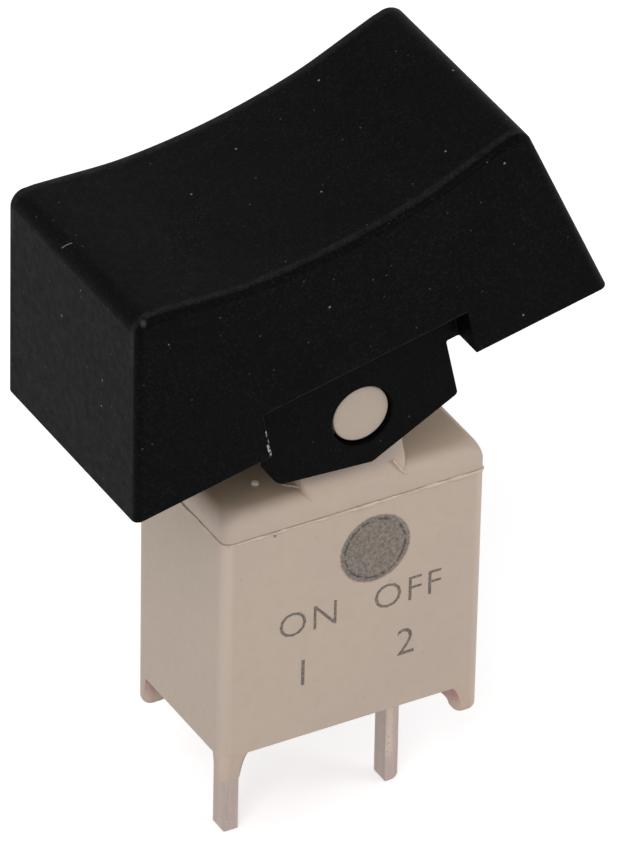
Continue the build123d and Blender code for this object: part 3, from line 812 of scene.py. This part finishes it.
# Painted rim highlight: where it starts, is full, fades and ends in from the side, and how low it reaches.
rim_light_from, rim_light_full, rim_light_fade, rim_light_end, rim_light_low = 0.46, 0.32, 0.24, 0.14, 5.95
scratch_x, scratch_y, scratch_turn = -5.834, 0.666, math.radians(28.15)
scratch_half_length, scratch_half_width = 0.15, 0.018
chip_x, chip_y, chip_core, chip_edge = -5.80, -3.52, 0.03, 0.12


def rocker_space(black):
    """Pattern space that tips with the rocker, with its middle on the pivot."""
    tilted = black.add("ShaderNodeMapping", vector_type="TEXTURE", Location=(0, 0, pivot_high),
                       Rotation=(0, rocker_tilt, 0))
    black.link(black.space, tilted.inputs["Vector"])
    return tilted.outputs["Vector"]


def side_highlights_and_flash(black, tint, own):
    """Painted grey highlight along the crown's long rims, pale broken flash on the relief's left edge, and a
    painted broken highlight along its top edge.
    """
    x, y, z = black.axes(own)
    side_off = black.math("ABSOLUTE", y)
    broken = black.ramp(black.noise(2.6, 3.0, 0.7, space=own, seed=3.0), 0.36, 0.62)
    # Painted highlight: a grey line along the rounding of the crown's long rims.
    rim_highlight = black.product(black.ramp(side_off, rocker_half_y - rim_light_from, rocker_half_y - rim_light_full),
                           black.ramp(side_off, rocker_half_y - rim_light_fade, rocker_half_y - rim_light_end, 1.0, 0.0),
                           black.math("GREATER_THAN", z, rim_light_low),
                           black.ramp(black.noise(9.0, 3.0, 0.8, seed=4.0), 0.35, 0.68, 0.25, 1.0),
                           black.ramp(broken, 0.0, 1.0, 0.55, 1.0))
    tint = black.laid(tint, (0.0210, 0.0210, 0.0205), 0.8, rim_highlight)
    outer = black.math("GREATER_THAN", side_off, rocker_half_y - 0.03)
    ragged = black.ramp(black.noise(5.5, 2.0, 0.7, space=own, seed=8.0), 0.50, 0.55)
    upright = black.product(black.math("COMPARE", x, relief_left - 0.045, 0.055),
                            black.math("COMPARE", z, 1.50, 0.46), outer, ragged)
    tint = black.laid(tint, (0.42, 0.40, 0.37), 0.8, upright)
    # Painted highlight: a faint broken line along the relief's top edge.
    relief_top_highlight = black.product(black.math("COMPARE", z, relief_level + 0.04, 0.04),
                          black.math("LESS_THAN", black.math("ABSOLUTE", x), 3.2), outer, broken)
    return black.laid(tint, (0.020, 0.020, 0.019), 0.35, relief_top_highlight)


def crown_wear(black, tint, own):
    """One short pale scratch and one small chip on the crown."""
    x, y, z = black.axes(own)
    turn_x, turn_y = math.cos(scratch_turn), math.sin(scratch_turn)
    from_x = black.math("SUBTRACT", x, scratch_x)
    from_y = black.math("SUBTRACT", y, scratch_y)
    along = black.math("MULTIPLY_ADD", from_x, turn_x, black.product(from_y, -turn_y))
    across = black.math("MULTIPLY_ADD", from_x, turn_y, black.product(from_y, turn_x))
    scratch = black.product(black.math("COMPARE", along, 0.0, scratch_half_length),
                            black.math("COMPARE", across, 0.0, scratch_half_width),
                            black.math("GREATER_THAN", z, 7.0))
    tint = black.laid(tint, (0.20, 0.19, 0.18), 0.8, scratch)
    chip = black.product(black.ramp(black.off_spot(x, chip_x, y, chip_y), chip_core, chip_edge, 1.0, 0.0),
                         black.math("GREATER_THAN", z, 6.9))
    return black.laid(tint, (0.060, 0.058, 0.055), 0.6, chip)


def black_plastic():
    """Matt black plastic, hazy and finely grained, with dust of three sizes, the rocker's wear and painted
    highlights on its rims and relief.
    """
    black = Recipe("matt_black_plastic")
    haze = black.ramp(black.noise(0.5, 4.0, 0.55, seed=2.0), 0.3, 0.7)
    tint = black.mix(haze, (0.0006, 0.0006, 0.0007), (0.0013, 0.0013, 0.0013))
    grain = black.product(black.ramp(black.noise(13.0, 2.0, 0.8, seed=11.0), 0.50, 0.68),
                          black.ramp(black.noise(0.9, 3.0, 0.5, seed=12.0), 0.3, 0.7, 0.5, 1.0))
    tint = black.mix(grain, tint, (0.0085, 0.0085, 0.0082))
    for scale, size, share, seed, strength, colour in (
            (1.2, 0.055, 0.55, 1.0, 0.70, (0.28, 0.27, 0.26)),
            (2.4, 0.085, 0.60, 5.0, 0.50, (0.10, 0.10, 0.095)),
            (5.0, 0.14, 0.30, 9.0, 0.35, (0.03, 0.03, 0.03))):
        tint = black.laid(tint, colour, strength, black.specks(scale, size, share, seed))
    own = rocker_space(black)
    tint = crown_wear(black, side_highlights_and_flash(black, tint, own), own)
    rough = black.ramp(black.noise(4.0, 4.0, 0.6, seed=8.0), 0.25, 0.75, 0.46, 0.58)
    wave = black.bump(black.noise(0.7, 2.0, 0.5, seed=3.0), 0.3, 0.00008)
    skin = black.bump(black.noise(13.0, 5.0, 0.7, seed=6.0), 0.32, 0.000018, wave)
    black.surface(tint, rough, skin, specular=0.035)
    return black.material


def swell(x):
    """How far the crown stands above its plain arc, which is most near each crest."""
    share = min(max((abs(x) - swell_from) / swell_run, 0.0), 1.0)
    return crest_swell * math.sin(math.pi * share)**2


def rocker_line(end_inset, top_inset):
    """Right skirt corner, over both crests and the dish, to the left skirt corner, moved inward."""
    lean = math.atan2(crown_level - skirt_level, crown_half - skirt_half)
    out = Vector((math.sin(lean), -math.cos(lean)))  # outward normal of the right end
    up = Vector((math.cos(lean), math.sin(lean)))
    foot = Vector((skirt_half, skirt_level)) - out * end_inset
    low = foot + up * ((skirt_level - foot.y) / up.y)
    r = crest_round - top_inset
    base = foot - out * r
    centre = Vector((0, crown_centre))
    b = (base - centre).dot(up)
    c = (base - centre).length_squared - (crown_radius + top_inset + r)**2
    spots = [base + up * t for t in (-b - math.sqrt(b * b - c), -b + math.sqrt(b * b - c))]
    hub = min(spots, key=lambda spot: abs(spot.y - crown_level))
    toward = centre - hub
    crest = arc(hub.x, hub.y, r, math.degrees(math.atan2(out.y, out.x)),
                math.degrees(math.atan2(toward.y, toward.x)), 12)
    meet = math.degrees(math.atan2(hub.y - crown_centre, hub.x))
    bowl = arc(0, crown_centre, crown_radius + top_inset, meet, -180 - meet, 48)
    bowl = [(x, z + swell(x)) for x, z in bowl]
    top_x, top_z = crest[0]
    right = [(low.x + (top_x - low.x) * k / 6, low.y + (top_z - low.y) * k / 6) for k in range(6)] + crest
    left = [(-x, z) for x, z in reversed(right)]
    return right + bowl[1:-1] + left


def rim_inset(y, reach, depth):
    """How far a rim rounding has drawn the outline in at a distance from the middle plane."""
    past = max(abs(y) - (rocker_half_y - reach), 0.0) / reach
    return depth * (1 - math.sqrt(max(1 - past * past, 0.0)))


depths = sorted({round(rocker_half_y - reach * (1 - math.sin(math.radians(9 * k))), 5)
                 for reach in (rim_reach, end_rim_round) for k in range(11)})
depths = [-y for y in reversed(depths)] + [0.0] + depths
rings = []
for y in depths:
    line = rocker_line(rim_inset(y, end_rim_round, end_rim_round), rim_inset(y, rim_reach, rim_depth))
    rings.append([(x, y, z) for x, z in line])
rocker = loft("rocker_body", rings)
relief_face = rocker_half_y - side_wall
ear_inner = relief_face - ear_thick
lean = (skirt_half - crown_half) / (crown_level - skirt_level)
room_low = skirt_half - end_wall
room_high = room_low - lean * (roof_level - skirt_level)
room = prism("room", [(-room_low, 0), (room_low, 0), (room_low, skirt_level), (room_high, roof_level),
                      (-room_high, roof_level), (-room_low, skirt_level)], -relief_face, relief_face)
eased(room, 0.15, 3, 20)
joined(rocker, [room], "DIFFERENCE")
corner = ear_apex + ear_half * ear_slope
ear_left = -ear_half - ear_left_more
ear_line = soft_outline([(ear_left, skirt_level + 0.1), (ear_left, corner), (0, ear_apex), (ear_half, corner),
                         (ear_half, skirt_level + 0.1)],
                        (0, ear_left_round, ear_apex_round, ear_right_round, 0))
for side in (-1, 1):
    band = block("band", -ear_root, ear_root, *sorted((side * ear_inner, side * (relief_face + 0.1))),
                 skirt_level, roof_level + 0.1)
    ear = prism("ear", ear_line, *sorted((side * ear_inner, side * relief_face)))
    joined(rocker, [band, ear], "UNION")
    relief = block("relief", relief_left, relief_right,
                   *sorted((side * relief_face, side * (rocker_half_y + 1))), 0, relief_level)
    joined(rocker, [relief], "DIFFERENCE")
hole = loft("hole", [[(x, y, z) for x, z in circle(hole_radius, 64)]
                     for y in (-relief_face - 0.2, relief_face + 0.2)])
joined(rocker, [hole], "DIFFERENCE")
leg = block("leg", -leg_half_x, leg_half_x, -leg_half_y, leg_half_y, -leg_tip, roof_level + 0.1)
eased(leg, 0.15, 3)
bore = loft("bore", [[(x, y, z) for x, y in circle(bore_radius, 40)] for z in (-leg_tip - 1, -bore_top)])
joined(leg, [bore], "DIFFERENCE")
joined(rocker, [leg], "UNION")
eased(rocker, 0.045, 3, 50)
at_rest = Matrix.Translation((0, 0, pivot_high)) @ Matrix.Rotation(rocker_tilt, 4, "Y")
finished(rocker, black_plastic(), 32, at_rest)
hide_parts("rocker")
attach(rocker, "rocker")

# --- follower and spring ---
# Pin with a round nose that slides in the leg and runs on the blade, of unfilled white plastic, and the
# steel spring that pushes it: seven turns of round wire, upright along the leg.
nose = Recipe("natural_follower_plastic")
milky = nose.ramp(nose.noise(1.8, 3.0, 0.5, seed=2.0), 0.3, 0.7)
nose.surface(nose.mix(milky, (0.70, 0.68, 0.62), (0.62, 0.60, 0.54)),
             nose.ramp(nose.noise(9.0, 3.0, 0.6, seed=4.0), 0.3, 0.7, 0.25, 0.40),
             nose.bump(nose.noise(12.0, 3.0, 0.6, seed=6.0), 0.1, 0.00001))
coated("follower", nose.material)

spring_low, spring_rise, spring_radius, wire_radius, spring_turns = -4.81, 3.12, 0.40, 0.08, 7
steel = Recipe("spring_steel")
drawn_lines = steel.noise(1.0, 4.0, 0.6, space=steel.stretched((20.0, 20.0, 4.0)), seed=5.0)
steel.surface(steel.mix(steel.ramp(drawn_lines, 0.3, 0.7), (0.50, 0.49, 0.47), (0.66, 0.65, 0.63)),
              steel.ramp(drawn_lines, 0.3, 0.7, 0.20, 0.34), metallic=1.0)
coil_tree, source, result = growth("coil", "Turns", "Radius", "Rise", "Wire")
spiral = tree_node(coil_tree, "GeometryNodeCurveSpiral", Resolution=24)
ring = tree_node(coil_tree, "GeometryNodeCurvePrimitiveCircle", Resolution=10)
swept = tree_node(coil_tree, "GeometryNodeCurveToMesh", Fill_Caps=True)
wired(coil_tree, (
    (source.outputs["Turns"], spiral.inputs["Rotations"]), (source.outputs["Rise"], spiral.inputs["Height"]),
    (source.outputs["Radius"], spiral.inputs["Start Radius"]),
    (source.outputs["Radius"], spiral.inputs["End Radius"]), (source.outputs["Wire"], ring.inputs["Radius"]),
    (spiral.outputs[0], swept.inputs["Curve"]), (ring.outputs["Curve"], swept.inputs["Profile Curve"])))
handed_out(coil_tree, swept, source, result)
spring = grown(new_piece("spring_coil", bpy.data.meshes.new("spring_coil")), coil_tree,
               {"Turns": float(spring_turns), "Radius": spring_radius, "Rise": spring_rise,
                "Wire": wire_radius, "Material": steel.material})
finished(spring, steel.material, 50, at_rest @ Matrix.Translation((0, 0, spring_low)))
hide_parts("spring")
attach(spring, "rocker")

# --- floor and light ---
# Pale table under the tips of the terminals and a soft overcast sky, with one broad lamp from the
# upper left and a weaker one from the right.
table_low = cad_low.z - 0.00002
table_glow, sky_light = 0.48, 0.55
table_mesh = bpy.data.meshes.new("table")
table_mesh.from_pydata([(-2, -2, table_low), (2, -2, table_low), (2, 2, table_low), (-2, 2, table_low)],
                       [], [(0, 1, 2, 3)])
table = new_piece("table", table_mesh)
white = bpy.data.materials.new("table_white")
white.use_nodes = True
table.data.materials.append(white)
world = bpy.data.worlds.new("sky")
world.use_nodes = True
bpy.context.scene.world = world


def seen_rays(tree):
    """1 for what the camera, a reflection or clear material sees, 0 for light that falls on things."""
    path = tree.nodes.new("ShaderNodeLightPath")
    total = path.outputs["Is Camera Ray"]
    for name in ("Is Glossy Ray", "Is Transmission Ray"):
        more = tree_node(tree, "ShaderNodeMath", operation="MAXIMUM")
        tree.links.new(total, more.inputs[0])
        tree.links.new(path.outputs[name], more.inputs[1])
        total = more.outputs[0]
    return total


tree = white.node_tree
cloth = tree.nodes["Principled BSDF"]
for name, value in (("Base Color", (0.80, 0.80, 0.80, 1)), ("Roughness", 0.9), ("Specular IOR Level", 0.0),
                    ("Emission Color", (1, 1, 1, 1))):
    cloth.inputs[name].default_value = value
glow = tree_node(tree, "ShaderNodeMath", operation="MULTIPLY")
glow.inputs[1].default_value = table_glow
tree.links.new(seen_rays(tree), glow.inputs[0])
tree.links.new(glow.outputs[0], cloth.inputs["Emission Strength"])

tree = world.node_tree
strength = tree.nodes.new("ShaderNodeMix")
strength.inputs[2].default_value = sky_light
strength.inputs[3].default_value = 1.0
tree.links.new(seen_rays(tree), strength.inputs[0])
tree.links.new(strength.outputs[0], tree.nodes["Background"].inputs["Strength"])
tree.nodes["Background"].inputs["Color"].default_value = (1, 1, 1, 1)


def lamp(name, place, aim, size, power):
    """Square soft lamp, place and aim in metres."""
    data = bpy.data.lights.new(name, "AREA")
    data.size = size
    data.energy = power
    light = new_piece(name, data)
    light.location = place
    light.rotation_euler = (Vector(aim) - Vector(place)).to_track_quat("-Z", "Y").to_euler()


lamp("broad_lamp", (-0.25, -0.25, 0.35), (0, 0, 0.008), 0.25, 0.9)
lamp("right_lamp", (0.30, -0.20, 0.20), (0, 0, 0.008), 0.25, 0.35)
